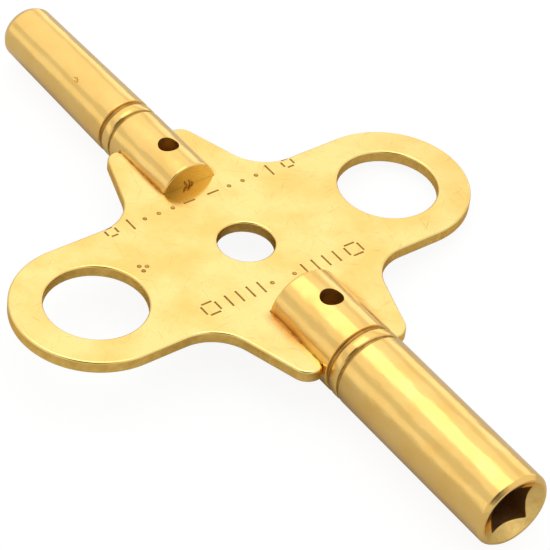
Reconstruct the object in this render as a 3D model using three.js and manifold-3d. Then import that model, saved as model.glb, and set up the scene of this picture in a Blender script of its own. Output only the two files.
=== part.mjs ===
// Double-ended winding key in brass: a flat pair of finger wings with a square-socket barrel at each end.
//
// Frame: millimetres. +X runs along the barrels towards the large socket, +Y across the wings, +Z out of the
// top face of the wing plate. The origin is on the barrels' common axis, half way along the key.

import * as THREE from "three";
import { mergeVertices } from "three/addons/utils/BufferGeometryUtils.js";
import Module from "manifold-3d";

// ---- driving dimensions, mm and degrees; lengths along the key are from the wing plate's own centre ----

const PLATE_THICKNESS = 1.45;
const PLATE_EDGE_BEVEL = 0.15;
const LOBE_RADIUS = 8.85;
const LOBE_CENTRE_Y = 18.45;
const FINGER_HOLE_RADIUS = 5.35;
const CENTRE_HOLE_RADIUS = 3;
const LOBE_FILLET_RADIUS = 5;

// The two arms of the plate that run out into the barrels' slots. Each ends in a round horn on both sides of its
// barrel: hornX and hornY are the centre of the horn's outer corner, hornRadius is that corner's radius, and
// slope is how fast the arm's side falls towards it.
const LARGE_ARM = { hornX: 17.35, hornY: 5, hornRadius: 1.95, slope: 18 };
const SMALL_ARM = { hornX: 17.1, hornY: 3.75, hornRadius: 1.6, slope: 18.8 };

const BRAZE_FILM = 0.08; // braze on each side of the plate inside a barrel's slot
const SLOT_END_FILM = 0.3; // braze between the end of the arm and the end of the slot
const BRAZE_INSET = 0.05; // the film stops this far inside the barrel's surface

const GROOVE_WIDTH = 0.5;
const GROOVE_DEPTH = 0.32;
const BEAD_EDGE_DROP = 0.14; // how far the bead between the grooves falls away at its edges

const LARGE_BARREL = {
  name: "large_barrel",
  radius: 4.225,
  tipRadius: 4.225,
  innerEnd: 9.8,
  mouth: 43.9,
  innerChamfer: 0.1,
  mouthChamferLength: 0.4,
  mouthChamferDepth: 0.33,
  grooves: [19.63, 21.28],
  feedHole: { x: 14.1, radius: 1.23 },
  socket: { acrossFlats: 4.25, depth: 20, coneRadius: 3.5 },
  arm: LARGE_ARM,
};

const SMALL_BARREL = {
  name: "small_barrel",
  radius: 3.33,
  tipRadius: 3.09,
  innerEnd: 10.3,
  mouth: 41.85,
  innerChamfer: 0.1,
  mouthChamferLength: 0.35,
  mouthChamferDepth: 0.3,
  grooves: [20.47, 22.16],
  feedHole: { x: 14.4, radius: 1.12 },
  socket: { acrossFlats: 1.75, depth: 15, coneRadius: 1.6 },
  arm: SMALL_ARM,
};

const SINK_ANGLE = 60; // half angle of the countersink at each socket mouth

const ROUND_SEGMENTS = 48;
const HOLE_SEGMENTS = 32;
const ARC_SEGMENTS = 9;
const SAME_POINT = 1e-3; // outline points closer than this are one point

// The origin is half way along the key, so everything moves along X by this much.
const CENTRE_SHIFT = (SMALL_BARREL.mouth - LARGE_BARREL.mouth) / 2;

// ---- materials ----

const brass = (color, roughness) => new THREE.MeshStandardMaterial({ color, roughness, metalness: 1 });
const PLATE_BRASS = brass(0xe3bd5c, 0.22);
const BARREL_BRASS = brass(0xdcae4c, 0.18);
const BRAZE_ALLOY = brass(0xb98532, 0.4);

// ---- solids ----

const wasm = await Module();
wasm.setup();

const radians = (degrees) => (degrees * Math.PI) / 180;

/** A closed three.js geometry as a manifold solid. */
function solidFrom(geometry) {
  const bare = geometry.index ? geometry.toNonIndexed() : geometry.clone();
  bare.deleteAttribute("normal");
  bare.deleteAttribute("uv");
  const merged = mergeVertices(bare, 1e-5);
  return new wasm.Manifold(
    new wasm.Mesh({
      numProp: 3,
      vertProperties: merged.attributes.position.array,
      triVerts: new Uint32Array(merged.index.array),
    }),
  );
}

/** A manifold solid as a three.js geometry. */
function geometryFrom(solid) {
  const mesh = solid.getMesh();
  const geometry = new THREE.BufferGeometry();
  geometry.setAttribute("position", new THREE.BufferAttribute(mesh.vertProperties, 3));
  geometry.setIndex(new THREE.BufferAttribute(mesh.triVerts, 1));
  const flat = geometry.toNonIndexed();
  flat.computeVertexNormals();
  return flat;
}

/** A solid turned about the X axis, from profile points [x, radius] given in order of rising x. */
function turned(profile, segments = ROUND_SEGMENTS) {
  const points = profile.map(([x, radius]) => new THREE.Vector2(radius, x));
  const geometry = new THREE.LatheGeometry(points, segments);
  geometry.rotateZ(-Math.PI / 2);
  return solidFrom(geometry);
}

/** A box from its lowest and highest corners. */
function box([x0, y0, z0], [x1, y1, z1]) {
  const geometry = new THREE.BoxGeometry(x1 - x0, y1 - y0, z1 - z0);
  geometry.translate((x0 + x1) / 2, (y0 + y1) / 2, (z0 + z1) / 2);
  return solidFrom(geometry);
}

/** An upright round cutter through the whole key at (x, y). */
function uprightCylinder(x, y, radius, height) {
  const geometry = new THREE.CylinderGeometry(radius, radius, height, HOLE_SEGMENTS);
  geometry.rotateX(Math.PI / 2);
  geometry.translate(x, y, 0);
  return solidFrom(geometry);
}

// ---- wing plate ----

/** Where the arm's sloping side leaves its horn and meets the lobe's fillet. */
function armSide(arm) {
  const slope = radians(arm.slope);
  const hornEnd = {
    x: arm.hornX + arm.hornRadius * Math.sin(slope),
    y: arm.hornY + arm.hornRadius * Math.cos(slope),
  };
  const filletX = LOBE_RADIUS + LOBE_FILLET_RADIUS;
  const filletEndX = filletX - LOBE_FILLET_RADIUS * Math.sin(slope);
  const filletEndY = hornEnd.y + (hornEnd.x - filletEndX) * Math.tan(slope);
  const filletY = filletEndY + LOBE_FILLET_RADIUS * Math.cos(slope);
  return { filletX, filletY, slope };
}

/** Points of an arc about (x, y), both ends included. */
function arc(x, y, radius, from, to, segments = ARC_SEGMENTS) {
  const points = [];
  for (let i = 0; i <= segments; i++) {
    const angle = from + ((to - from) * i) / segments;
    points.push(new THREE.Vector2(x + radius * Math.cos(angle), y + radius * Math.sin(angle)));
  }
  return points;
}

/** Radius of a horn's inner corner, which runs back to the barrel's side. */
const innerCorner = (barrel) => barrel.arm.hornY - (barrel.radius - BRAZE_INSET);

/** How far the arm reaches between its horns, inside the barrel's slot. */
const armReach = (barrel) => barrel.arm.hornX + barrel.arm.hornRadius - innerCorner(barrel);

/** One quarter of the plate's outline, from the top of the +Y lobe to the arm's end, for the +X side. */
function outlineQuarter(barrel) {
  const { hornX, hornY, hornRadius } = barrel.arm;
  const side = armSide(barrel.arm);
  return [
    ...arc(0, LOBE_CENTRE_Y, LOBE_RADIUS, Math.PI / 2, 0, 2 * ARC_SEGMENTS),
    ...arc(side.filletX, side.filletY, LOBE_FILLET_RADIUS, Math.PI, 1.5 * Math.PI - side.slope),
    ...arc(hornX, hornY, hornRadius, Math.PI / 2 - side.slope, 0),
    ...arc(armReach(barrel), hornY, innerCorner(barrel), 0, -Math.PI / 2, Math.ceil(ARC_SEGMENTS / 3)),
  ];
}

/** The plate's whole outline, anticlockwise. */
function plateOutline() {
  const large = outlineQuarter(LARGE_BARREL);
  const small = outlineQuarter(SMALL_BARREL);
  const mirror = (points, sx, sy) => points.map((p) => new THREE.Vector2(sx * p.x, sy * p.y));
  const outline = [
    ...mirror(large, 1, 1),
    ...mirror(large, 1, -1).reverse(),
    ...mirror(small, -1, -1),
    ...mirror(small, -1, 1).reverse(),
  ];
  const apart = (p, i) => p.distanceTo(outline[(i + 1) % outline.length]) > SAME_POINT;
  return outline.filter(apart).reverse();
}

function circlePath(x, y, radius) {
  return new THREE.Path(arc(x, y, radius, 0, -2 * Math.PI, HOLE_SEGMENTS).slice(0, -1));
}

function wingPlate() {
  const shape = new THREE.Shape(plateOutline());
  shape.holes.push(circlePath(0, 0, CENTRE_HOLE_RADIUS));
  for (const side of [-1, 1]) {
    shape.holes.push(circlePath(0, side * LOBE_CENTRE_Y, FINGER_HOLE_RADIUS));
  }
  const geometry = new THREE.ExtrudeGeometry(shape, {
    depth: PLATE_THICKNESS - 2 * PLATE_EDGE_BEVEL,
    bevelThickness: PLATE_EDGE_BEVEL,
    bevelSize: PLATE_EDGE_BEVEL,
    bevelOffset: -PLATE_EDGE_BEVEL,
    bevelSegments: 1,
  });
  geometry.translate(0, 0, PLATE_EDGE_BEVEL - PLATE_THICKNESS / 2);
  return solidFrom(geometry);
}

// ---- barrels ----

/** The round hole that crosses a barrel over the plate, through which the braze was fed. */
function feedCutter(barrel) {
  const { x, radius } = barrel.feedHole;
  return uprightCylinder(x, 0, radius, 4 * barrel.radius);
}

/** The groove, bead, groove ring: profile points between two grooves, for rising x. */
function groovePoints(barrel) {
  const half = GROOVE_WIDTH / 2;
  const deep = barrel.radius - GROOVE_DEPTH;
  const [first, second] = barrel.grooves;
  const beadEdge = barrel.radius - BEAD_EDGE_DROP;
  const middle = (first + second) / 2;
  const shoulder = (second - first) / 4;
  return [
    [first - half, barrel.radius],
    [first - half, deep],
    [first + half, deep],
    [first + half, beadEdge],
    [middle - shoulder / 2, barrel.radius],
    [middle + shoulder / 2, barrel.radius],
    [second - half, beadEdge],
    [second - half, deep],
    [second + half, deep],
    [second + half, barrel.radius],
  ];
}

/** Turned outside of a barrel, from its inner end to its mouth. */
function barrelProfile(barrel) {
  return [
    [barrel.innerEnd, 0],
    [barrel.innerEnd, barrel.radius - barrel.innerChamfer],
    [barrel.innerEnd + barrel.innerChamfer, barrel.radius],
    ...groovePoints(barrel),
    [barrel.mouth - barrel.mouthChamferLength, barrel.tipRadius],
    [barrel.mouth, barrel.tipRadius - barrel.mouthChamferDepth],
    [barrel.mouth, 0],
  ];
}

/** The square socket and the countersink that leads into it. */
function socketCutter(barrel) {
  const { acrossFlats, depth, coneRadius } = barrel.socket;
  const half = acrossFlats / 2;
  const beyond = 1;
  const spread = Math.tan(radians(SINK_ANGLE));
  const square = box([barrel.mouth - depth, -half, -half], [barrel.mouth + beyond, half, half]);
  const cone = turned([
    [barrel.mouth - coneRadius / spread, 0],
    [barrel.mouth, coneRadius],
    [barrel.mouth + beyond, coneRadius],
    [barrel.mouth + beyond, 0],
  ]);
  return square.add(cone);
}

/** Where a barrel's slot ends, past the end of the plate's arm. */
const slotEnd = (barrel) => armReach(barrel) + SLOT_END_FILM;

/** A barrel that runs from the plate towards +X. */
function barrelTowardsX(barrel) {
  const slotHalf = PLATE_THICKNESS / 2 + BRAZE_FILM;
  const wide = 2 * barrel.radius;
  const slot = box([0, -wide, -slotHalf], [slotEnd(barrel), wide, slotHalf]);
  const feed = feedCutter(barrel);
  return turned(barrelProfile(barrel)).subtract(slot).subtract(socketCutter(barrel)).subtract(feed);
}

// ---- braze joints ----

/** The braze that fills a barrel's slot on both faces and round the end of the plate's arm. */
function brazeTowardsX(barrel) {
  const half = PLATE_THICKNESS / 2;
  const slotHalf = half + BRAZE_FILM;
  const side = Math.sqrt(barrel.radius ** 2 - slotHalf ** 2) - BRAZE_INSET;
  const wide = 2 * barrel.radius;
  const outer = box(
    [barrel.innerEnd + BRAZE_INSET, -side, -slotHalf],
    [slotEnd(barrel), side, slotHalf],
  );
  const arm = box([0, -wide, -half], [armReach(barrel), wide, half]);
  return outer.subtract(arm).subtract(feedCutter(barrel));
}

// ---- assembly ----

function piece(name, solid, material, parent) {
  const mesh = new THREE.Mesh(geometryFrom(solid), material);
  mesh.name = name;
  parent.add(mesh);
}

const key = new THREE.Group();
key.name = "winding_key";
key.position.x = CENTRE_SHIFT;

// The small end is built towards +X like the large one, then turned half round about Z.
const smallEnd = new THREE.Group();
smallEnd.rotation.z = Math.PI;
key.add(smallEnd);

piece("wing_plate", wingPlate(), PLATE_BRASS, key);
piece("large_barrel", barrelTowardsX(LARGE_BARREL), BARREL_BRASS, key);
piece("large_barrel_braze", brazeTowardsX(LARGE_BARREL), BRAZE_ALLOY, key);
piece("small_barrel", barrelTowardsX(SMALL_BARREL), BARREL_BRASS, smallEnd);
piece("small_barrel_braze", brazeTowardsX(SMALL_BARREL), BRAZE_ALLOY, smallEnd);

export default key;
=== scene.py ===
"""Double-ended brass winding key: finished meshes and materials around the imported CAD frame.

Everything is modelled in millimetres from the wing plate's own centre, with a barrel running towards +X,
and is then placed in the frame in metres. Sizes that the frame gives are read from it.
"""

import itertools
import math

import bmesh
import bpy
from mathutils import Matrix, Vector


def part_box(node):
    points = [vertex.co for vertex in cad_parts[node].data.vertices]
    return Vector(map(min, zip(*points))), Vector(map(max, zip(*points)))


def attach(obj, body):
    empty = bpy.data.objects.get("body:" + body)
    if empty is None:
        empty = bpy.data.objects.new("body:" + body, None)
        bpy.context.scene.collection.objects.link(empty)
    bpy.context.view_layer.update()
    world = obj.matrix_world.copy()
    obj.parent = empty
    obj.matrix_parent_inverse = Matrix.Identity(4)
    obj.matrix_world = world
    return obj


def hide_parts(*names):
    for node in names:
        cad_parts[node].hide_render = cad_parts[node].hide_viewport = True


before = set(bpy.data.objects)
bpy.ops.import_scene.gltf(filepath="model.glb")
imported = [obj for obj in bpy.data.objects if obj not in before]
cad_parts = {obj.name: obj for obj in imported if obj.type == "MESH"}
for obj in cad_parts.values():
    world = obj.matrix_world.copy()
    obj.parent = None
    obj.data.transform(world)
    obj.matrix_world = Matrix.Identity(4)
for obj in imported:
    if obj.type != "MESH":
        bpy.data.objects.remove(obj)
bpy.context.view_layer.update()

MM = 0.001

# ---- sizes from the frame, mm ----

plate_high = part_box("wing_plate")[1] / MM
large_low, large_high = (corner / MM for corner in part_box("large_barrel"))
small_low, small_high = (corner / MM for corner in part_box("small_barrel"))

PLATE_HALF = plate_high.z
LOBE_EDGE_Y = plate_high.y

# ---- sizes that the boxes don't give, mm and degrees ----

LARGE_INNER_END = 9.8  # from the plate's centre
CENTRE_X = large_low.x - LARGE_INNER_END  # the plate's centre in the frame

LOBE_RADIUS = 8.85
FINGER_HOLE_RADIUS = 5.35
CENTRE_HOLE_RADIUS = 3.0
LOBE_FILLET_RADIUS = 5.0
LOBE_CENTRE_Y = LOBE_EDGE_Y - LOBE_RADIUS
PLATE_EDGE_ROUND = 0.26
SIDE_WALL_TILT = 0.35  # most that the normal of a side wall leans up or down

BRAZE_FILM = 0.08
SEAM_LEG = (0.07, 0.17)  # least and most width of the braze fillets
SEAM_ROOT = 0.12  # how far a fillet reaches into the barrel
SEAM_SUNK = 0.03  # and into the plate
SEAM_SKIN = 0.004  # its least thickness over both
SEAM_ENDS = (0.15, 0.05)  # how far it stops short of the inner end and of the slot's end
SEAM_RINGS_PER_MM = 5
CRUMBS = (  # sideways, up and size of each dark crumb at the foot of an inner end
    (-0.46, 0.10, 0.20),
    (-0.10, 0.34, 0.36),
    (0.26, 0.12, 0.18),
    (0.50, 0.42, 0.28),
)
CRUMB_PROUD = 0.02  # how far a crumb's middle stands out of the inner end
POOL_OVERLAP = 0.03  # how far a pool reaches into the hole's wall, and starts above the plate
POOL_BOTTOM = 0.28  # height of its dished middle over the plate
POOL_CLIMB = 0.35  # how much higher it stands round the wall
BRAZE_INSET = 0.05  # of the arm's hidden end, from the barrel's surface
BRAZE_RECESS = 0.01  # of the braze in the open sides of the slot
SLOT_END_FILM = 0.3
SLOT_HALF = PLATE_HALF + BRAZE_FILM

FEED_EDGE = 0.035  # easing of the cross holes' edges
GROOVE_WIDTH = 0.5
GROOVE_DEPTH = 0.32
GROOVE_WALL = 0.1  # how far a groove's wall leans
GROOVE_EDGE_EASE = 0.07
GROOVE_FLOOR_EASE = 0.1
BEAD_EDGE_DROP = 0.14  # of the bead's edges below its crown

FACING_START = 0.35  # radius of the innermost of the parting tool's rings on an inner end
FACING_PITCH = 0.42
FACING_RISE = 0.16  # from a ring's crest out to its bottom
FACING_DEPTH = 0.012
FACING_MARGIN = 0.7  # least width between the last ring and the barrel's side
FACING_RIM = 0.5  # plain flat width beside the eased edge
INNER_END_EASE = 0.3

TAPER_START = 0.6  # past the middle of the second groove
CHAMFER_LEAD = 0.3  # full tip radius before the mouth's chamfer starts
CHAMFER_EASE = 0.2
RIM_EASE = 0.06
SINK_EASE = 0.08
SINK_LIP = 0.3  # radial width of the eased outer part of the countersink
SINK_SLOPE = math.tan(math.radians(60))  # radius over depth of the countersinks
SOCKET_CORNER = 0.06  # corner radius over half the square's width

NICK_X = 29.0
NICK_ANGLE = 37  # from +Z towards +Y
NICK_DEPTH = 0.07
NICK_BELOW = 0.13  # how far the small barrel's taper has fallen there, with the flat of the dent
NICK_HALF_LENGTH = 0.42
NICK_HALF_WIDTH = 0.24
NICK_SKEW = 0.12

CUTTER_CLEARANCE = 1.0  # how far a cutter reaches past the metal


class Barrel:
    """One end of the key. Lengths along it are from the plate's centre, towards its mouth."""

    def __init__(self, name, low, high, direction, tip_radius, **sizes):
        self.name = name
        self.direction = direction
        self.radius = high.z
        self.tip_radius = tip_radius
        ends = [direction * (low.x - CENTRE_X), direction * (high.x - CENTRE_X)]
        self.inner_end, self.mouth = min(ends), max(ends)
        self.__dict__.update(sizes)

    @property
    def inner_corner(self):
        """Radius of the inside corner between a horn and the barrel's side."""
        return self.horn_y - (self.radius - BRAZE_INSET)

    @property
    def seam_y(self):
        """Half the barrel's width where it meets the plate's faces."""
        return math.sqrt(self.radius ** 2 - PLATE_HALF ** 2)

    @property
    def arm_reach(self):
        """How far the plate's arm runs inside the slot."""
        return self.horn_x + self.horn_radius - self.inner_corner

    @property
    def slot_end(self):
        return self.arm_reach + SLOT_END_FILM


LARGE = Barrel(
    "large", large_low, large_high, 1, large_high.z,
    horn_x=17.35, horn_y=5.0, horn_radius=1.95, arm_slope=18.0,
    mouth_chamfer=(0.42, 0.36), grooves=(19.63, 21.28), feed_x=14.1, feed_radius=1.23,
    across_flats=4.25, socket_depth=20.0, sink_radius=3.68,
)
SMALL = Barrel(
    "small", small_low, small_high, -1, 3.09,
    horn_x=17.1, horn_y=3.75, horn_radius=1.6, arm_slope=18.8,
    mouth_chamfer=(0.62, 0.38), grooves=(20.47, 22.16), feed_x=14.4, feed_radius=1.12,
    across_flats=1.75, socket_depth=15.0, sink_radius=1.6,
)

TURNED_SEGMENTS = 192
HOLE_SEGMENTS = 72
EDGE_STEPS = 6  # round the plate's edge, from its side to a face
CRUMB_RINGS = 5
CRUMB_SIDES = 9
SHARP_ANGLE = math.radians(32)
BRAZE_SHARP_ANGLE = math.radians(50)


# ---- mesh tools ----

def mesh_object(name, vertices, faces, material=None):
    """A new object from plain vertex and face lists, with its faces pointing out."""
    mesh = bpy.data.meshes.new(name)
    mesh.from_pydata([tuple(v) for v in vertices], [], faces)
    piece = bpy.data.objects.new(name, mesh)
    bpy.context.scene.collection.objects.link(piece)
    if material:
        mesh.materials.append(material)
    solid = bmesh.new()
    solid.from_mesh(mesh)
    bmesh.ops.remove_doubles(solid, verts=solid.verts, dist=1e-6)
    bmesh.ops.recalc_face_normals(solid, faces=solid.faces)
    solid.to_mesh(mesh)
    solid.free()
    return piece


def bake_modifiers(piece):
    """Applies the piece's modifiers."""
    graph = bpy.context.evaluated_depsgraph_get()
    mesh = bpy.data.meshes.new_from_object(piece.evaluated_get(graph))
    piece.modifiers.clear()
    piece.data = mesh


def combine(piece, other, operation):
    """Cuts or joins another object into the piece and removes that object."""
    boolean = piece.modifiers.new(operation, "BOOLEAN")
    boolean.operation = operation
    boolean.solver = "EXACT"
    boolean.material_mode = "TRANSFER"
    boolean.object = other
    bake_modifiers(piece)
    bpy.data.objects.remove(other)


def cut(piece, *cutters):
    """Takes each cutter out of the piece."""
    for cutter in cutters:
        combine(piece, cutter, "DIFFERENCE")


def join(piece, *others):
    """Merges each of the others into the piece."""
    for other in others:
        combine(piece, other, "UNION")


def smooth(piece, angle=SHARP_ANGLE):
    """Smooth shading that stays crisp at edges sharper than the angle."""
    solid = bmesh.new()
    solid.from_mesh(piece.data)
    for face in solid.faces:
        face.smooth = True
    for edge in solid.edges:
        edge.smooth = edge.calc_face_angle(0.0) < angle
    solid.to_mesh(piece.data)
    solid.free()
    weighted = piece.modifiers.new("weighted normals", "WEIGHTED_NORMAL")
    weighted.keep_sharp = True
    weighted.weight = 80
    bake_modifiers(piece)


def place(piece, direction=1):
    """Moves a mesh from its own millimetres into the frame, turned half round for the small end."""
    turn = Matrix.Rotation(0.0 if direction > 0 else math.pi, 4, "Z")
    shift = Matrix.Translation((CENTRE_X * MM, 0, 0))
    piece.data.transform(shift @ turn @ Matrix.Scale(MM, 4))


def rounded(corners, steps=5):
    """A path through corners (x, y, round), each corner eased over that distance on both sides."""
    points = []
    for i, (x, y, ease) in enumerate(corners):
        here = Vector((x, y))
        if not ease:
            points.append(here)
            continue
        before = Vector(corners[i - 1][:2]) - here
        after = Vector(corners[i + 1][:2]) - here
        start = here + before.normalized() * min(ease, 0.49 * before.length)
        end = here + after.normalized() * min(ease, 0.49 * after.length)
        for k in range(steps + 1):
            s = k / steps
            points.append(start * (1 - s) ** 2 + here * (2 * s * (1 - s)) + end * s ** 2)
    return points


def turned(name, profile, material):
    """A solid turned about X from (x, radius) points that start and end on the axis."""
    vertices, faces, rings = [], [], []
    for x, radius in profile:
        count = TURNED_SEGMENTS if radius > 1e-6 else 1
        rings.append(range(len(vertices), len(vertices) + count))
        for k in range(count):
            angle = 2 * math.pi * k / TURNED_SEGMENTS
            vertices.append((x, radius * math.sin(angle), radius * math.cos(angle)))
    for ring, following in zip(rings, rings[1:]):
        for k in range(TURNED_SEGMENTS):
            here, there = k, (k + 1) % TURNED_SEGMENTS
            corners = [ring[here % len(ring)], ring[there % len(ring)]]
            corners += [following[there % len(following)], following[here % len(following)]]
            face = list(dict.fromkeys(corners))
            if len(face) > 2:
                faces.append(face)
    return mesh_object(name, vertices, faces, material)


def block(name, low, high, material):
    """A plain box, to cut with or to be cut."""
    corners = list(itertools.product(*zip(low, high)))
    faces = [(0, 1, 3, 2), (4, 6, 7, 5), (0, 4, 5, 1), (2, 3, 7, 6), (0, 2, 6, 4), (1, 5, 7, 3)]
    return mesh_object(name, corners, faces, material)


def stacked(name, *stacks, material):
    """Closed solids, each through a stack of rings of equal length and capped at both ends."""
    vertices, faces = [], []
    for rings in stacks:
        base, count = len(vertices), len(rings[0])
        vertices += [point for ring in rings for point in ring]
        faces.append(range(base, base + count))
        faces.append(range(len(vertices) - count, len(vertices)))
        for low in range(base, len(vertices) - count, count):
            for k in range(count):
                n = (k + 1) % count
                faces.append((low + k, low + n, low + count + n, low + count + k))
    return mesh_object(name, vertices, faces, material)


def paint(piece, material, wanted):
    """Gives the faces that pass the test another material."""
    piece.data.materials.append(material)
    index = len(piece.data.materials) - 1
    for face in piece.data.polygons:
        if wanted(face):
            face.material_index = index


def arc(x, y, radius, start, end, segments):
    """Points of an arc about (x, y), angles in radians, both ends included."""
    angles = [start + (end - start) * k / segments for k in range(segments + 1)]
    return [Vector((x + radius * math.cos(a), y + radius * math.sin(a))) for a in angles]


# ---- node tools ----

def add_node(tree, kind, inputs=None, **settings):
    """A shader node with its settings, and its inputs set to values or linked to sockets."""
    made = tree.nodes.new(kind)
    for name, value in settings.items():
        setattr(made, name, value)
    for name, value in (inputs or {}).items():
        if isinstance(value, bpy.types.NodeSocket):
            tree.links.new(value, made.inputs[name])
        else:
            made.inputs[name].default_value = value
    return made


def mm_coordinates(tree, scale=(1, 1, 1), turn=(0, 0, 0)):
    """Object coordinates in millimetres, stretched by scale after a turn in degrees."""
    source = add_node(tree, "ShaderNodeTexCoord").outputs["Object"]
    turned_first = add_node(
        tree, "ShaderNodeMapping",
        {"Vector": source, "Rotation": [math.radians(a) for a in turn]},
    ).outputs["Vector"]
    return add_node(
        tree, "ShaderNodeMapping",
        {"Vector": turned_first, "Scale": [s / MM for s in scale]},
    ).outputs["Vector"]


def noise(tree, vector, scale, detail=2.0, roughness=0.5, distortion=0.0):
    return add_node(
        tree, "ShaderNodeTexNoise",
        {"Vector": vector, "Scale": scale, "Detail": detail, "Roughness": roughness,
         "Distortion": distortion},
    ).outputs["Fac"]


def remap(tree, value, from_low, from_high, to_low, to_high):
    return add_node(
        tree, "ShaderNodeMapRange",
        {"Value": value, "From Min": from_low, "From Max": from_high,
         "To Min": to_low, "To Max": to_high},
    ).outputs["Result"]


def stretch(tree, value, low, high):
    """The usual range of a noise, stretched to run from low to high."""
    return remap(tree, value, 0.3, 0.7, low, high)


def math_node(tree, operation, first, second):
    return add_node(tree, "ShaderNodeMath", {0: first, 1: second}, operation=operation).outputs[0]


def bump(tree, height, distance, normal=None):
    """A bump whose full height is the distance in millimetres."""
    inputs = {"Height": height, "Distance": distance * MM, "Strength": 1.0}
    if normal:
        inputs["Normal"] = normal
    return add_node(tree, "ShaderNodeBump", inputs).outputs["Normal"]


def mix_colour(tree, amount, first, second):
    """The second colour laid over the first, as far as the amount says."""
    made = tree.nodes.new("ShaderNodeMix")
    made.data_type = "RGBA"
    for name, value in (("Factor_Float", amount), ("A_Color", first), ("B_Color", second)):
        socket = next(s for s in made.inputs if s.identifier == name)
        if isinstance(value, bpy.types.NodeSocket):
            tree.links.new(value, socket)
        else:
            socket.default_value = value
    return next(s for s in made.outputs if s.identifier == "Result_Color")


def scratches(tree, angles, seed, length, width, share):
    """A mask of fine straight scratches: noise drawn out along each angle, and only its crests kept."""
    total = 0.0
    for angle in angles:
        vector = mm_coordinates(tree, (1 / length, 1 / width, 1 / width), (0, 0, angle + seed))
        lowest = 1 - share
        crests = remap(tree, noise(tree, vector, 1.0, 3.0, 0.6), lowest, lowest + 0.05, 0.0, 1.0)
        total = math_node(tree, "MAXIMUM", total, crests)
    return total


def colour(red, green, blue):
    return (red, green, blue, 1.0)


# ---- materials ----

PALE_BRASS = colour(1.0, 0.78, 0.29)
GOLDEN_BRASS = colour(1.0, 0.67, 0.20)
YELLOW_BRASS = colour(0.97, 0.655, 0.215)
WARM_BRASS = colour(0.95, 0.59, 0.165)
CUT_BRASS = colour(0.92, 0.60, 0.18)
DULL_BRASS = colour(0.62, 0.40, 0.12)
# painted shade on the inner ends, towards their foot and their -Y side
END_SHADE_BROWN = colour(0.36, 0.23, 0.06)
# painted shade in the stamped marks, groove floors and braze pools
DEEP_SHADE_BROWN = colour(0.38, 0.21, 0.055)
# painted shade and reflection beside the brazed seams
SEAM_SHADE_BROWN = colour(0.52, 0.18, 0.018)
# painted shade at the foot of the feed holes
DARKEST_SHADE_BROWN = colour(0.16, 0.08, 0.022)
BRASS_AT_GLANCE = colour(1.0, 0.80, 0.50)  # the metal's tint at grazing angles

# Roughness between the glossiest and the dullest spots.
SHEET_GLOSS = (0.13, 0.20)
BAR_GLOSS = (0.15, 0.22)
FACED_GLOSS = (0.22, 0.34)

# Painted shade and reflection of the barrels, in red-brown beside the brazed seams: its strength, and its
# reach in mm at the large and the small barrel.
PLATE_SEAM_SHADE = (0.75, 1.3, 0.6)
BAR_SEAM_SHADE = (0.95, 1.7, 0.8)
SEAM_SHADE_FALLOFF = 1.1  # power by which the tint fades over its reach
SEAM_SHADE_LEAD = (-0.2, 0.8)  # where it sets in along the barrel, mm from the inner end
SEAM_SHADE_TAIL = (-5.0, -1.5)  # and where it dies away, mm from the slot's end


def new_material(name):
    material = bpy.data.materials.new(name)
    material.use_nodes = True
    tree = material.node_tree
    shader = next(n for n in tree.nodes if n.type == "BSDF_PRINCIPLED")
    shader.inputs["Metallic"].default_value = 1.0
    return material, tree, shader


def seam_shade_mask(tree, barrel, across, reach):
    """A mask of painted shade that fades over a reach in mm from a barrel's seam, along the stretch that
    was brazed.
    """
    axes = add_node(tree, "ShaderNodeSeparateXYZ", {"Vector": mm_coordinates(tree)}).outputs
    from_centre = math_node(tree, "SUBTRACT", axes["X"], CENTRE_X)
    along = math_node(tree, "MULTIPLY", from_centre, float(barrel.direction))
    start = remap(tree, along, *(barrel.inner_end + mm for mm in SEAM_SHADE_LEAD), 0.0, 1.0)
    end = remap(tree, along, *(barrel.slot_end + mm for mm in SEAM_SHADE_TAIL), 1.0, 0.0)
    edge = barrel.seam_y if across == "Y" else PLATE_HALF
    distance = math_node(tree, "ABSOLUTE", axes[across], 0.0)
    near = remap(tree, distance, edge, edge + reach, 1.0, 0.0)
    near = math_node(tree, "POWER", near, SEAM_SHADE_FALLOFF)
    return math_node(tree, "MULTIPLY", near, math_node(tree, "MULTIPLY", start, end))


def add_seam_shade(tree, tint, across, shade_sizes):
    """The tint, with painted shade and reflection in red-brown beside the seams of both barrels."""
    strength, large_reach, small_reach = shade_sizes
    large = seam_shade_mask(tree, LARGE, across, large_reach)
    small = seam_shade_mask(tree, SMALL, across, small_reach)
    amount = math_node(tree, "MULTIPLY", strength, math_node(tree, "MAXIMUM", large, small))
    return mix_colour(tree, amount, tint, SEAM_SHADE_BROWN)


def polished_sheet():
    """Rolled sheet, tumbled and polished: soft waves, cloudy gloss and crossing handling scratches."""
    material, tree, shader = new_material("polished brass sheet")
    even = mm_coordinates(tree)
    cloud = noise(tree, even, 0.16, 3.0, 0.55)
    speck = noise(tree, even, 1.6, 4.0, 0.6)
    marks = scratches(tree, (0, 37, 71, 118, 153), 11, 4.0, 0.16, 0.335)
    patches = remap(tree, cloud, 0.38, 0.60, 0.0, 1.0)
    tint = mix_colour(tree, patches, GOLDEN_BRASS, PALE_BRASS)
    tint = mix_colour(tree, math_node(tree, "MULTIPLY", marks, 0.5), tint, DULL_BRASS)
    # painted shade and reflection of the barrels on the plate beside the seams
    tint = add_seam_shade(tree, tint, "Y", PLATE_SEAM_SHADE)
    tree.links.new(tint, shader.inputs["Base Color"])
    gloss = stretch(tree, speck, *SHEET_GLOSS)
    gloss = math_node(tree, "ADD", gloss, math_node(tree, "MULTIPLY", marks, 0.12))
    tree.links.new(gloss, shader.inputs["Roughness"])
    waves = bump(tree, noise(tree, even, 0.13, 2.0, 0.4), 0.09)
    grain = bump(tree, noise(tree, even, 5.0, 2.0, 0.5), 0.0012, waves)
    worn = bump(tree, marks, -0.0016, grain)
    tree.links.new(worn, shader.inputs["Normal"])
    return material


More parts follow.
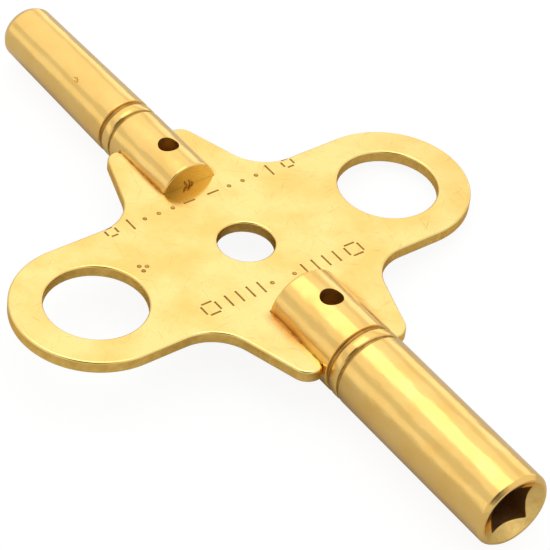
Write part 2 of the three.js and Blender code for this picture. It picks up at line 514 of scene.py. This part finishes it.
def turned_bar():
    """Turned and polished bar: fine rings round it, slow waves along it and a few handling scratches."""
    material, tree, shader = new_material("turned brass bar")
    even = mm_coordinates(tree)
    cloud = noise(tree, even, 0.3, 3.0, 0.5)
    rings = noise(tree, mm_coordinates(tree, (9.0, 0.25, 0.25)), 1.0, 3.0, 0.6)
    marks = scratches(tree, (8, 55, 96), 3, 3.0, 0.14, 0.30)
    tint = mix_colour(tree, stretch(tree, cloud, 0.0, 1.0), WARM_BRASS, YELLOW_BRASS)
    tint = mix_colour(tree, math_node(tree, "MULTIPLY", marks, 0.3), tint, DULL_BRASS)
    # painted shade and reflection of the plate on the barrels beside the seams
    tint = add_seam_shade(tree, tint, "Z", BAR_SEAM_SHADE)
    tree.links.new(tint, shader.inputs["Base Color"])
    gloss = stretch(tree, rings, *BAR_GLOSS)
    gloss = math_node(tree, "ADD", gloss, math_node(tree, "MULTIPLY", marks, 0.1))
    tree.links.new(gloss, shader.inputs["Roughness"])
    drawn_out = mm_coordinates(tree, (0.45, 1, 1))
    waves = bump(tree, noise(tree, drawn_out, 0.5, 2.0, 0.4), 0.105)
    lathe_lines = bump(tree, rings, 0.0022, waves)
    worn = bump(tree, marks, -0.0014, lathe_lines)
    tree.links.new(worn, shader.inputs["Normal"])
    return material


def stained_and_shaded_brass(name, bright, dark, gloss):
    """Brass that no polish reaches, mottled unevenly, and duller where it is darker. Where its tones are
    darkened, in the bores, the socket, the recesses and the braze pools, the dark brown is painted shade.
    """
    material, tree, shader = new_material(name)
    stain = noise(tree, mm_coordinates(tree), 1.1, 4.0, 0.6)
    tint = mix_colour(tree, stretch(tree, stain, 0.0, 1.0), dark, bright)
    tree.links.new(tint, shader.inputs["Base Color"])
    tree.links.new(stretch(tree, stain, *reversed(gloss)), shader.inputs["Roughness"])
    shader.inputs["Specular Tint"].default_value = BRASS_AT_GLANCE
    tool_lines = noise(tree, mm_coordinates(tree, (7.0, 1.5, 1.5)), 1.0, 3.0, 0.6)
    tree.links.new(bump(tree, tool_lines, 0.006), shader.inputs["Normal"])
    return material


def faced_end():
    """The parted-off inner ends: duller, and darker brown towards the foot on the -Y side as painted shade.
    """
    material, tree, shader = new_material("faced end")
    even = mm_coordinates(tree)
    axes = add_node(tree, "ShaderNodeSeparateXYZ", {"Vector": even}).outputs
    climb = math_node(tree, "ADD", axes["Y"], math_node(tree, "MULTIPLY", axes["Z"], 0.6))
    climb = math_node(tree, "ADD", climb, noise(tree, even, 0.9, 3.0, 0.6))
    # painted shade: brown low down and towards -Y, the cut metal's own colour higher up and towards +Y
    lit_share = remap(tree, climb, -1.2, 3.6, 0.0, 1.0)
    tree.links.new(mix_colour(tree, lit_share, END_SHADE_BROWN, CUT_BRASS), shader.inputs["Base Color"])
    grain = noise(tree, mm_coordinates(tree, (0.5, 6.0, 6.0)), 1.0, 3.0, 0.6)
    tree.links.new(stretch(tree, grain, *FACED_GLOSS), shader.inputs["Roughness"])
    tree.links.new(bump(tree, grain, 0.003), shader.inputs["Normal"])
    return material


SHEET = polished_sheet()
BAR = turned_bar()
FACED = faced_end()
# Painted shade: the bores' and the slot's walls darker brown than the bar.
BORE = stained_and_shaded_brass(
    "bore with painted shade", bright=colour(0.72, 0.46, 0.13), dark=DULL_BRASS, gloss=(0.3, 0.5))
# Painted shade: the socket's walls dark brown.
SOCKET = stained_and_shaded_brass(
    "socket wall", bright=colour(0.66, 0.40, 0.15), dark=colour(0.42, 0.22, 0.09), gloss=(0.35, 0.6))
SINK = stained_and_shaded_brass(
    "countersink", bright=colour(1.0, 0.74, 0.25), dark=colour(0.88, 0.53, 0.16), gloss=(0.14, 0.22))
SHEARED = stained_and_shaded_brass(
    "sheared edge", bright=colour(0.98, 0.64, 0.18), dark=colour(0.76, 0.47, 0.10), gloss=(0.26, 0.40))
# Painted shade: the stamped marks and the groove floors dark brown.
RECESS = stained_and_shaded_brass(
    "stamped recess", bright=colour(0.55, 0.34, 0.09), dark=DEEP_SHADE_BROWN, gloss=(0.28, 0.42))
DENT = stained_and_shaded_brass(
    "handling dent", bright=colour(0.90, 0.60, 0.19), dark=colour(0.74, 0.46, 0.13), gloss=(0.22, 0.35))
SEAM = stained_and_shaded_brass(
    "braze seam", bright=colour(0.62, 0.33, 0.07), dark=colour(0.28, 0.12, 0.02), gloss=(0.28, 0.45))
# Painted shade: the pools at the foot of the feed holes dark to near-black brown.
POOL = stained_and_shaded_brass(
    "braze pool", bright=DEEP_SHADE_BROWN, dark=DARKEST_SHADE_BROWN, gloss=(0.35, 0.6))
CRUMB = stained_and_shaded_brass(
    "dark crumb", bright=colour(0.62, 0.35, 0.08), dark=colour(0.40, 0.21, 0.045), gloss=(0.35, 0.6))


# ---- wing plate ----

def arm_side(barrel):
    """Centre of the fillet between a lobe and the arm's sloping side, with that slope in radians."""
    slope = math.radians(barrel.arm_slope)
    end_x = barrel.horn_x + barrel.horn_radius * math.sin(slope)
    end_y = barrel.horn_y + barrel.horn_radius * math.cos(slope)
    fillet_x = LOBE_RADIUS + LOBE_FILLET_RADIUS
    touch_x = fillet_x - LOBE_FILLET_RADIUS * math.sin(slope)
    touch_y = end_y + (end_x - touch_x) * math.tan(slope)
    return fillet_x, touch_y + LOBE_FILLET_RADIUS * math.cos(slope), slope


def outline_quarter(barrel):
    """The plate's outline from the top of the +Y lobe to the end of the arm."""
    fillet_x, fillet_y, slope = arm_side(barrel)
    right = math.pi / 2
    return [
        *arc(0, LOBE_CENTRE_Y, LOBE_RADIUS, right, 0, 48),
        *arc(fillet_x, fillet_y, LOBE_FILLET_RADIUS, math.pi, 1.5 * math.pi - slope, 26),
        *arc(barrel.horn_x, barrel.horn_y, barrel.horn_radius, right - slope, 0, 22),
        *arc(barrel.arm_reach, barrel.horn_y, barrel.inner_corner, 0, -right, 8),
    ]


def plate_outline():
    """The plate's whole outline, from its two quarters mirrored about X."""
    large, small = outline_quarter(LARGE), outline_quarter(SMALL)
    path = [Vector((p.x, p.y)) for p in large]
    path += [Vector((p.x, -p.y)) for p in reversed(large)]
    path += [Vector((-p.x, -p.y)) for p in small]
    path += [Vector((-p.x, p.y)) for p in reversed(small)]
    return [p for i, p in enumerate(path) if (p - path[i - 1]).length > 1e-3]


def edge_normals(loop, solid_inside):
    """Unit directions at each point of a closed loop that lead into the metal."""
    area = sum(p.cross(loop[(i + 1) % len(loop)]) for i, p in enumerate(loop))
    side = 1 if (area > 0) == solid_inside else -1
    normals = []
    for i in range(len(loop)):
        along = (loop[(i + 1) % len(loop)] - loop[i]).normalized() + (loop[i] - loop[i - 1]).normalized()
        normals.append(Vector((-along.y, along.x)).normalized() * side)
    return normals


def wing_plate():
    """The sheet with its holes, every edge rounded over as tumbling leaves it."""
    loops = [(plate_outline(), True)]
    for x, y, radius in (
        (0, 0, CENTRE_HOLE_RADIUS),
        (0, LOBE_CENTRE_Y, FINGER_HOLE_RADIUS),
        (0, -LOBE_CENTRE_Y, FINGER_HOLE_RADIUS),
    ):
        loops.append((arc(x, y, radius, 0, 2 * math.pi, 96)[:-1], False))
    bends = [math.pi / 2 * k / EDGE_STEPS for k in range(EDGE_STEPS + 1)]
    upper_levels = [
        (PLATE_EDGE_ROUND * (1 - math.cos(a)), PLATE_HALF - PLATE_EDGE_ROUND * (1 - math.sin(a)))
        for a in bends
    ]
    levels = [(inset, -z) for inset, z in reversed(upper_levels)] + upper_levels
    sheet = bmesh.new()
    caps = {0: [], len(levels) - 1: []}
    for loop, solid_inside in loops:
        normals = edge_normals(loop, solid_inside)
        rings = [
            [sheet.verts.new((*(p + n * inset), z)) for p, n in zip(loop, normals)]
            for inset, z in levels
        ]
        count = len(loop)
        for lower, upper in zip(rings, rings[1:]):
            for k in range(count):
                n = (k + 1) % count
                sheet.faces.new((lower[k], lower[n], upper[n], upper[k]))
        for level in caps:
            ring = rings[level]
            caps[level] += [sheet.edges.get((ring[k], ring[(k + 1) % count])) for k in range(count)]
    for edges in caps.values():
        bmesh.ops.triangle_fill(sheet, edges=edges, use_beauty=True)
    bmesh.ops.recalc_face_normals(sheet, faces=sheet.faces)
    mesh = bpy.data.meshes.new("brass_wing_plate")
    sheet.to_mesh(mesh)
    sheet.free()
    mesh.materials.append(SHEET)
    plate = bpy.data.objects.new("brass_wing_plate", mesh)
    bpy.context.scene.collection.objects.link(plate)
    paint(plate, SHEARED, lambda face: abs(face.normal.z) < SIDE_WALL_TILT)
    cut(plate, tally_marks())
    smooth(plate)
    place(plate)
    return plate


# ---- stamped marks on the plate: a square, then bars for whole millimetres and dots for quarters ----

STAMP_DEPTH = 0.11
STROKE = 0.24
BAR_HALF = 0.75
DOT_RADIUS = 0.26
SMALL_TALLY_X = -8.1
LARGE_TALLY_X = 6.5
TRIPLE_DOT = (-1.9, -11.5)
TRIPLE_DOT_SPREAD = 0.46


def stroke_cutter(start, end):
    """A tapered wedge that leaves one stamped stroke in the plate's top."""
    start, end = Vector(start), Vector(end)
    along = (end - start).normalized()
    across = Vector((-along.y, along.x))
    rings = []
    for height, spread in ((-STAMP_DEPTH, 0.25), (0.0, 1.0), (0.1, 1.25)):
        half = STROKE / 2 * spread
        ring = []
        for a, b in ((-1, -1), (1, -1), (1, 1), (-1, 1)):
            middle = start if a < 0 else end
            ring.append((*(middle + along * (a * half) + across * (b * half)), PLATE_HALF + height))
        rings.append(ring)
    return rings


def dot_cutter(centre):
    """A blunt cone that leaves one punched dot."""
    rings = []
    for height, spread in ((-STAMP_DEPTH, 0.3), (-0.5 * STAMP_DEPTH, 0.8), (0.0, 1.0), (0.1, 1.2)):
        ring = arc(*centre, DOT_RADIUS * spread, 0, 2 * math.pi, 12)[:-1]
        rings.append([(*p, PLATE_HALF + height) for p in ring])
    return rings


def square_strokes(x, y, half):
    """Four separate strokes round a square, a hair apart at its corners."""
    gap = half - 1.4 * STROKE
    return [
        stroke_cutter((x - gap, y - half), (x + gap, y - half)),
        stroke_cutter((x - gap, y + half), (x + gap, y + half)),
        stroke_cutter((x - half, y - gap), (x - half, y + gap)),
        stroke_cutter((x + half, y - gap), (x + half, y + gap)),
    ]


def tally_row(x, y, half, whole, quarters, pitch, step):
    """A square of that half width, then its bars and dots, along Y in the direction of step."""
    shapes = square_strokes(x, y, half)
    at = y + step * (half + pitch)
    for _ in range(whole):
        shapes.append(stroke_cutter((x - BAR_HALF, at), (x + BAR_HALF, at)))
        at += step * pitch
    for _ in range(quarters):
        shapes.append(dot_cutter((x, at)))
        at += step * pitch
    return shapes


def tally_marks():
    """All the stamped marks as one cutter."""
    shapes = []
    for side in (-1, 1):
        shapes += tally_row(
            SMALL_TALLY_X, side * 11.2, half=0.62, whole=1, quarters=3, pitch=1.75, step=-side)
        shapes.append(stroke_cutter((SMALL_TALLY_X, side * 0.9), (SMALL_TALLY_X, side * 2.1)))
        shapes += tally_row(
            LARGE_TALLY_X, side * 9.0, half=0.85, whole=4, quarters=1, pitch=1.35, step=-side)
    for turn in range(3):
        angle = math.radians(90 + 120 * turn)
        shapes.append(dot_cutter((
            TRIPLE_DOT[0] + TRIPLE_DOT_SPREAD * math.cos(angle),
            TRIPLE_DOT[1] + TRIPLE_DOT_SPREAD * math.sin(angle),
        )))
    return stacked("tally cutter", *shapes, material=RECESS)


# ---- barrels ----

def groove_corners(barrel):
    """Two turned grooves with a rounded bead between them, as profile corners."""
    half = GROOVE_WIDTH / 2
    deep = barrel.radius - GROOVE_DEPTH
    first, second = barrel.grooves
    start, end = first + half, second - half
    middle, reach = (start + end) / 2, (end - start) / 2
    corners = [
        (first - half, barrel.radius, GROOVE_EDGE_EASE),
        (first - half + GROOVE_WALL, deep, GROOVE_FLOOR_EASE),
        (first + half - GROOVE_WALL, deep, GROOVE_FLOOR_EASE),
    ]
    steps = 8
    for k in range(steps + 1):
        x = start + (end - start) * k / steps
        drop = BEAD_EDGE_DROP * ((x - middle) / reach) ** 4
        corners.append((x, barrel.radius - drop, 0.0))
    corners += [
        (second - half + GROOVE_WALL, deep, GROOVE_FLOOR_EASE),
        (second + half - GROOVE_WALL, deep, GROOVE_FLOOR_EASE),
        (second + half, barrel.radius, GROOVE_EDGE_EASE),
    ]
    return corners


def facing_rings(barrel):
    """The faced inner end: very shallow rings left by the parting tool."""
    corners = []
    radius = FACING_START
    while radius < barrel.radius - FACING_MARGIN:
        corners.append((barrel.inner_end, radius, 0.0))
        corners.append((barrel.inner_end + FACING_DEPTH, radius + FACING_RISE, 0.0))
        radius += FACING_PITCH
    return corners


def barrel_profile(barrel):
    """The turned outline from the inner end to the mouth and down the countersink to the axis."""
    chamfer_length, chamfer_depth = barrel.mouth_chamfer
    chamfer_x = barrel.mouth - chamfer_length
    return [
        Vector((barrel.inner_end, 0)),
        *rounded([
            *facing_rings(barrel),
            (barrel.inner_end, barrel.radius - FACING_RIM, 0.0),
            (barrel.inner_end, barrel.radius, INNER_END_EASE),
            (barrel.inner_end + 2 * INNER_END_EASE, barrel.radius, 0.0),
            *groove_corners(barrel),
            (barrel.grooves[1] + TAPER_START, barrel.radius, 0.0),
            (chamfer_x - CHAMFER_LEAD, barrel.tip_radius, 0.0),
            (chamfer_x, barrel.tip_radius, CHAMFER_EASE),
            (barrel.mouth, barrel.tip_radius - chamfer_depth, RIM_EASE),
            (barrel.mouth, barrel.sink_radius, SINK_EASE),
            (barrel.mouth - SINK_LIP / SINK_SLOPE, barrel.sink_radius - SINK_LIP, 0.0),
        ]),
        Vector((barrel.mouth - barrel.sink_radius / SINK_SLOPE, 0)),
    ]


def square_cutter(barrel):
    """The broached square with its slightly rounded corners."""
    half = barrel.across_flats / 2
    corner = SOCKET_CORNER * half
    ring = []
    for quarter in range(4):
        turn = Matrix.Rotation(quarter * math.pi / 2, 2)
        for point in arc(half - corner, half - corner, corner, 0, math.pi / 2, 4):
            ring.append(turn @ point)
    ends = (barrel.mouth - barrel.socket_depth, barrel.mouth + CUTTER_CLEARANCE)
    return stacked("square cutter", [[(x, p.x, p.y) for p in ring] for x in ends], material=SOCKET)


def feed_cutter(barrel, side):
    """The cross hole through one cheek, with its edge eased where it meets the round surface."""
    def ring(radius, depth):
        points = []
        for k in range(HOLE_SEGMENTS):
            angle = 2 * math.pi * k / HOLE_SEGMENTS
            y = radius * math.sin(angle)
            height = math.sqrt(barrel.radius ** 2 - y ** 2) - depth
            points.append((barrel.feed_x + radius * math.cos(angle), y, side * height))
        return points

    inside_slot = 0.3
    rings = [[(x, y, side * inside_slot) for x, y, _ in ring(barrel.feed_radius, 0)]]
    steps = 5
    for k in range(steps + 1):
        angle = math.radians(70) * k / steps
        radius = barrel.feed_radius + FEED_EDGE * (1 - math.cos(angle))
        rings.append(ring(radius, FEED_EDGE * (1 - math.sin(angle))))
    rings.append(ring(barrel.feed_radius + 1.6 * FEED_EDGE, -0.1))
    top = side * (barrel.radius + CUTTER_CLEARANCE)
    rings.append([(x, y, top) for x, y, _ in rings[-1]])
    cutter = stacked("feed cutter", rings, material=BORE)
    paint(cutter, BAR, lambda face: math.hypot(
        face.center.x - barrel.feed_x, face.center.y) > barrel.feed_radius)
    return cutter


def turned_barrel(barrel):
    """One barrel with its slot, socket and cross holes, and each cut face in its own look."""
    name = barrel.name + "_square_barrel"
    body = turned(name, barrel_profile(barrel), BAR)
    wide = 2 * barrel.radius
    slot = block("slot cutter", (0, -wide, -SLOT_HALF), (barrel.slot_end, wide, SLOT_HALF), BORE)
    cut(body, slot, square_cutter(barrel), feed_cutter(barrel, 1), feed_cutter(barrel, -1))
    if barrel is SMALL:
        cut(body, nick_cutter(barrel))
    # painted shade on the groove floors
    paint(body, RECESS, lambda face: on_groove_floor(face, barrel))
    paint(body, FACED, lambda face: on_inner_end(face, barrel))
    paint(body, SINK, lambda face: in_countersink(face, barrel))
    smooth(body)
    place(body, barrel.direction)
    return body


def nick_cutter(barrel):
    """A small shallow dent in a barrel's side."""
    rings = []
    for height, spread in ((-NICK_DEPTH, 0.25), (-0.6 * NICK_DEPTH, 0.7), (0.1, 1.3)):
        rings.append([
            Vector((NICK_X + spread * (NICK_HALF_LENGTH * math.cos(a) + NICK_SKEW * math.sin(2 * a)),
                    spread * NICK_HALF_WIDTH * math.sin(a),
                    barrel.radius - NICK_BELOW + height))
            for a in (2 * math.pi * k / 12 for k in range(12))
        ])
    dent = stacked("nick cutter", rings, material=DENT)
    dent.data.transform(Matrix.Rotation(-math.radians(NICK_ANGLE), 4, "X"))
    return dent


def on_groove_floor(face, barrel):
    """Whether a face is deep in one of the two grooves."""
    depth = barrel.radius - math.hypot(face.center.y, face.center.z)
    nearest = min(abs(face.center.x - groove) for groove in barrel.grooves)
    return nearest < GROOVE_WIDTH / 2 and GROOVE_DEPTH / 2 < depth < 2 * GROOVE_DEPTH


def on_inner_end(face, barrel):
    """Whether a face is on the flat end towards the plate's centre."""
    return face.normal.x < -0.9 and abs(face.center.x - barrel.inner_end) < 0.05


def in_countersink(face, barrel):
    """Whether a face is on the cone inside the mouth."""
    inside = math.hypot(face.center.y, face.center.z) < barrel.sink_radius
    depth = barrel.mouth - face.center.x
    return inside and face.normal.x > 0.5 and 0.02 < depth < barrel.sink_radius / SINK_SLOPE


# ---- braze ----

def seam_section(leg):
    """A fillet's outline as (out, up) from the line where the barrel's side meets the plate."""
    curve = [math.pi / 2 * n / 5 for n in range(6)]
    return [
        (-SEAM_ROOT, -SEAM_SUNK),
        (leg, -SEAM_SUNK),
        *((leg * (1 - math.sin(a)) + SEAM_SKIN, leg * (1 - math.cos(a)) + SEAM_SKIN) for a in curve),
        (-SEAM_ROOT, leg),
    ]


def seam_fillet(barrel, face, flank):
    """A small uneven fillet of braze where one flank of a barrel meets one face of the plate."""
    start, end = barrel.inner_end + SEAM_ENDS[0], barrel.slot_end - SEAM_ENDS[1]
    steps = int((end - start) * SEAM_RINGS_PER_MM)
    least, most = SEAM_LEG
    rings = []
    for k in range(steps + 1):
        x = start + (end - start) * k / steps
        swell = 0.5 + 0.28 * math.sin(2.3 * x + flank) + 0.22 * math.sin(5.1 * x + face)
        fade = min(1.0, 0.3 + (x - start) / 1.5)
        leg = (least + (most - least) * swell) * fade
        ring = []
        for out, up in seam_section(leg):
            wall = math.sqrt(barrel.radius ** 2 - (PLATE_HALF + max(up, 0)) ** 2)
            lean = (wall - barrel.seam_y) * min(1.0, max(up, 0) / leg)
            ring.append((x, flank * (barrel.seam_y + out + lean), face * (PLATE_HALF + up)))
        rings.append(ring)
    return stacked("seam fillet", rings, material=SEAM)


def crumb(barrel, y, up, size):
    """One squashed, lopsided dark crumb on the inner end, its middle at y and up above the plate."""
    rings = []
    for k in range(CRUMB_RINGS):
        angle = math.pi * (k + 0.5) / CRUMB_RINGS
        radius = size * math.sin(angle)
        depth = 0.35 * size * math.cos(angle)
        ring = []
        for n in range(CRUMB_SIDES):
            turn = 2 * math.pi * n / CRUMB_SIDES
            wobble = 1 + 0.25 * math.sin(3 * turn + 7 * size + k)
            ring.append((barrel.inner_end - CRUMB_PROUD + depth,
                         y + radius * wobble * (0.5 * math.cos(turn) + 0.35 * math.sin(turn)),
                         PLATE_HALF + up + 1.1 * radius * wobble * math.sin(turn)))
        rings.append(ring)
    return stacked("crumb", rings, material=CRUMB)


def braze(barrel):
    """The braze in the slot, its fillets on both faces, the pools under the cross holes, and the crumbs."""
    name = barrel.name + "_braze_seam"
    side = math.sqrt(barrel.radius ** 2 - SLOT_HALF ** 2) - BRAZE_RECESS
    wide = 2 * barrel.radius
    film = block(name, (barrel.inner_end, -side, -SLOT_HALF), (barrel.slot_end, side, SLOT_HALF), SEAM)
    paint(film, FACED, lambda face: on_inner_end(face, barrel))
    cut(film, block("arm cutter", (0, -wide, -PLATE_HALF), (barrel.arm_reach, wide, PLATE_HALF), SEAM))
    for face in (1, -1):
        join(film, feed_pool(barrel, face))
        for flank in (1, -1):
            join(film, seam_fillet(barrel, face, flank))
    join(film, *(crumb(barrel, *place_and_size) for place_and_size in CRUMBS))
    smooth(film, BRAZE_SHARP_ANGLE)
    place(film, barrel.direction)
    return film


def feed_pool(barrel, side):
    """The dished pool of braze at the foot of a feed hole."""
    def ring(share, height):
        radius = (barrel.feed_radius + POOL_OVERLAP) * share
        points = arc(barrel.feed_x, 0, radius, 0, 2 * math.pi, HOLE_SEGMENTS)[:-1]
        return [(p.x, p.y, side * (PLATE_HALF + height)) for p in points]

    rings = [ring(1.0, POOL_OVERLAP)]
    for share in (1.0, 0.92, 0.8, 0.62, 0.4, 0.15):
        rings.append(ring(share, POOL_BOTTOM + POOL_CLIMB * share ** 4))
    return stacked("feed pool", rings, material=POOL)


# ---- the key ----

PIECES = [(wing_plate(), "plate_brass", "wing_plate")]
for barrel in (LARGE, SMALL):
    PIECES.append((turned_barrel(barrel), "barrel_brass", barrel.name + "_barrel"))
    PIECES.append((braze(barrel), "braze_alloy", barrel.name + "_barrel_braze"))
for piece, slot, node in PIECES:
    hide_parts(node)
    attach(piece, "root")


# ---- floor, lights and camera ----

FLOOR_IN_REFLECTIONS = 0.62  # how pale the floor is in the key's reflections
FLOOR_SEEN = 0.11  # and in plain sight, where a back-lit glow lifts it almost to white
FLOOR_GLOW = 0.91
FLOOR_HALF = 6.0  # metres

WALLS = (0.75, 0.90)  # brightness of the room towards -Y and towards +Y
WALLS_TURN = 0.7  # share of Y in a direction at which each is reached
DARK_SIDE = (0.57, -0.49, 0.66)  # the open side of the room
DARK_EDGE = (0.84, 0.97)  # cosine from that side where the dark begins, and where it is full
DARK_SHARE = 0.15  # brightness left there

SOFTBOXES = (
    dict(name="overhead softbox", place_mm=(-30, -16, 400), aim_mm=(-30, -16, 0),
         width=520, height=300, radiance=0.68),
    dict(name="wide overhead softbox", place_mm=(-300, -20, 420), aim_mm=(-300, -20, 0),
         width=800, height=840, radiance=0.24),
    dict(name="far strip", place_mm=(-260, 460, 70), aim_mm=(-60, 0, 0),
         width=560, height=300, radiance=0.42),
    dict(name="low strip", place_mm=(-260, -420, 95), aim_mm=(-60, 0, 0),
         width=560, height=150, radiance=0.25),
)

CAMERA_AZIMUTH = -40.936  # from +X towards +Y, degrees
CAMERA_ELEVATION = 41.363
CAMERA_ROLL = 7.340
CAMERA_DISTANCE = 314.2  # mm, as is the target
CAMERA_TARGET = (4.041, 0.061, 0.0)
CAMERA_LENS = 202.02
SENSOR = 36.0


def resting_normal():
    """The floor's upward normal in the frame: the key lies on both barrels and rolls onto its +Y lobe."""
    tilt_x = (LARGE.radius - SMALL.tip_radius) / (large_high.x - small_low.x)
    drop = (LARGE.radius + SMALL.tip_radius) / 2 - PLATE_HALF
    tilt_y = -drop / LOBE_EDGE_Y
    return Vector((tilt_x, tilt_y, 1)).normalized()


def lay_floor():
    """A big plain pale floor that just touches the key's lowest points."""
    up = resting_normal()
    lowest = min(up.dot(v.co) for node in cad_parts.values() for v in node.data.vertices)
    across = Vector((1, 0, 0)).cross(up).normalized()
    along = up.cross(across)
    corners = [
        up * lowest + (along * a + across * b) * FLOOR_HALF
        for a, b in ((-1, -1), (1, -1), (1, 1), (-1, 1))
    ]
    floor = mesh_object("floor", corners, [(0, 1, 2, 3)])
    if floor.data.polygons[0].normal.dot(up) < 0:
        floor.data.flip_normals()
    material = bpy.data.materials.new("pale floor")
    material.use_nodes = True
    tree = material.node_tree
    shader = next(n for n in tree.nodes if n.type == "BSDF_PRINCIPLED")
    shader.inputs["Roughness"].default_value = 0.9
    shader.inputs["Specular IOR Level"].default_value = 0.0
    seen = add_node(tree, "ShaderNodeLightPath").outputs["Is Camera Ray"]
    paper = remap(tree, seen, 0.0, 1.0, FLOOR_IN_REFLECTIONS, FLOOR_SEEN)
    tree.links.new(paper, shader.inputs["Base Color"])
    shader.inputs["Emission Color"].default_value = colour(1.0, 1.0, 1.0)
    tree.links.new(math_node(tree, "MULTIPLY", seen, FLOOR_GLOW), shader.inputs["Emission Strength"])
    floor.data.materials.append(material)


def softbox(name, place_mm, aim_mm, width, height, radiance):
    """A square-edged area light of the given size in millimetres and brightness, aimed at a point."""
    light = bpy.data.lights.new(name, "AREA")
    light.shape = "RECTANGLE"
    light.size, light.size_y = width * MM, height * MM
    light.energy = radiance * math.pi * light.size * light.size_y
    lamp = bpy.data.objects.new(name, light)
    lamp.location = Vector(place_mm) * MM
    aim = (Vector(aim_mm) - Vector(place_mm)).normalized()
    lamp.rotation_euler = aim.to_track_quat("-Z", "Y").to_euler()
    lamp.visible_camera = False
    bpy.context.scene.collection.objects.link(lamp)


def light_room():
    """A pale room with one open dark side, and softboxes overhead and on both sides."""
    world = bpy.data.worlds.new("pale room")
    world.use_nodes = True
    bpy.context.scene.world = world
    tree = world.node_tree
    background = next(n for n in tree.nodes if n.type == "BACKGROUND")
    background.inputs["Color"].default_value = colour(1.0, 1.0, 1.0)
    direction = add_node(tree, "ShaderNodeTexCoord").outputs["Generated"]
    axes = add_node(tree, "ShaderNodeSeparateXYZ", {"Vector": direction}).outputs
    walls = remap(tree, axes["Y"], -WALLS_TURN, WALLS_TURN, *WALLS)
    towards = add_node(
        tree, "ShaderNodeVectorMath", {0: direction, 1: DARK_SIDE}, operation="DOT_PRODUCT",
    ).outputs["Value"]
    opening = remap(tree, towards, *DARK_EDGE, 1.0, DARK_SHARE)
    tree.links.new(math_node(tree, "MULTIPLY", walls, opening), background.inputs["Strength"])
    for box in SOFTBOXES:
        softbox(**box)


def set_camera():
    """The camera, aimed at its target and rolled, as in the photograph."""
    azimuth, elevation = math.radians(CAMERA_AZIMUTH), math.radians(CAMERA_ELEVATION)
    back = Vector((
        math.cos(elevation) * math.cos(azimuth),
        math.cos(elevation) * math.sin(azimuth),
        math.sin(elevation),
    ))
    right = Vector((0, 0, 1)).cross(back).normalized()
    up = back.cross(right)
    roll = Matrix.Rotation(math.radians(CAMERA_ROLL), 3, "Z")
    turn = Matrix((right, up, back)).transposed() @ roll
    eye = (Vector(CAMERA_TARGET) + back * CAMERA_DISTANCE) * MM
    data = bpy.data.cameras.new("camera")
    data.sensor_width = SENSOR
    data.lens = CAMERA_LENS
    data.clip_start, data.clip_end = 0.01, 20.0
    camera = bpy.data.objects.new("camera", data)
    camera.matrix_world = Matrix.Translation(eye) @ turn.to_4x4()
    bpy.context.scene.collection.objects.link(camera)
    bpy.context.scene.camera = camera


lay_floor()
light_room()
set_camera()
bpy.context.scene.view_settings.view_transform = "Standard"
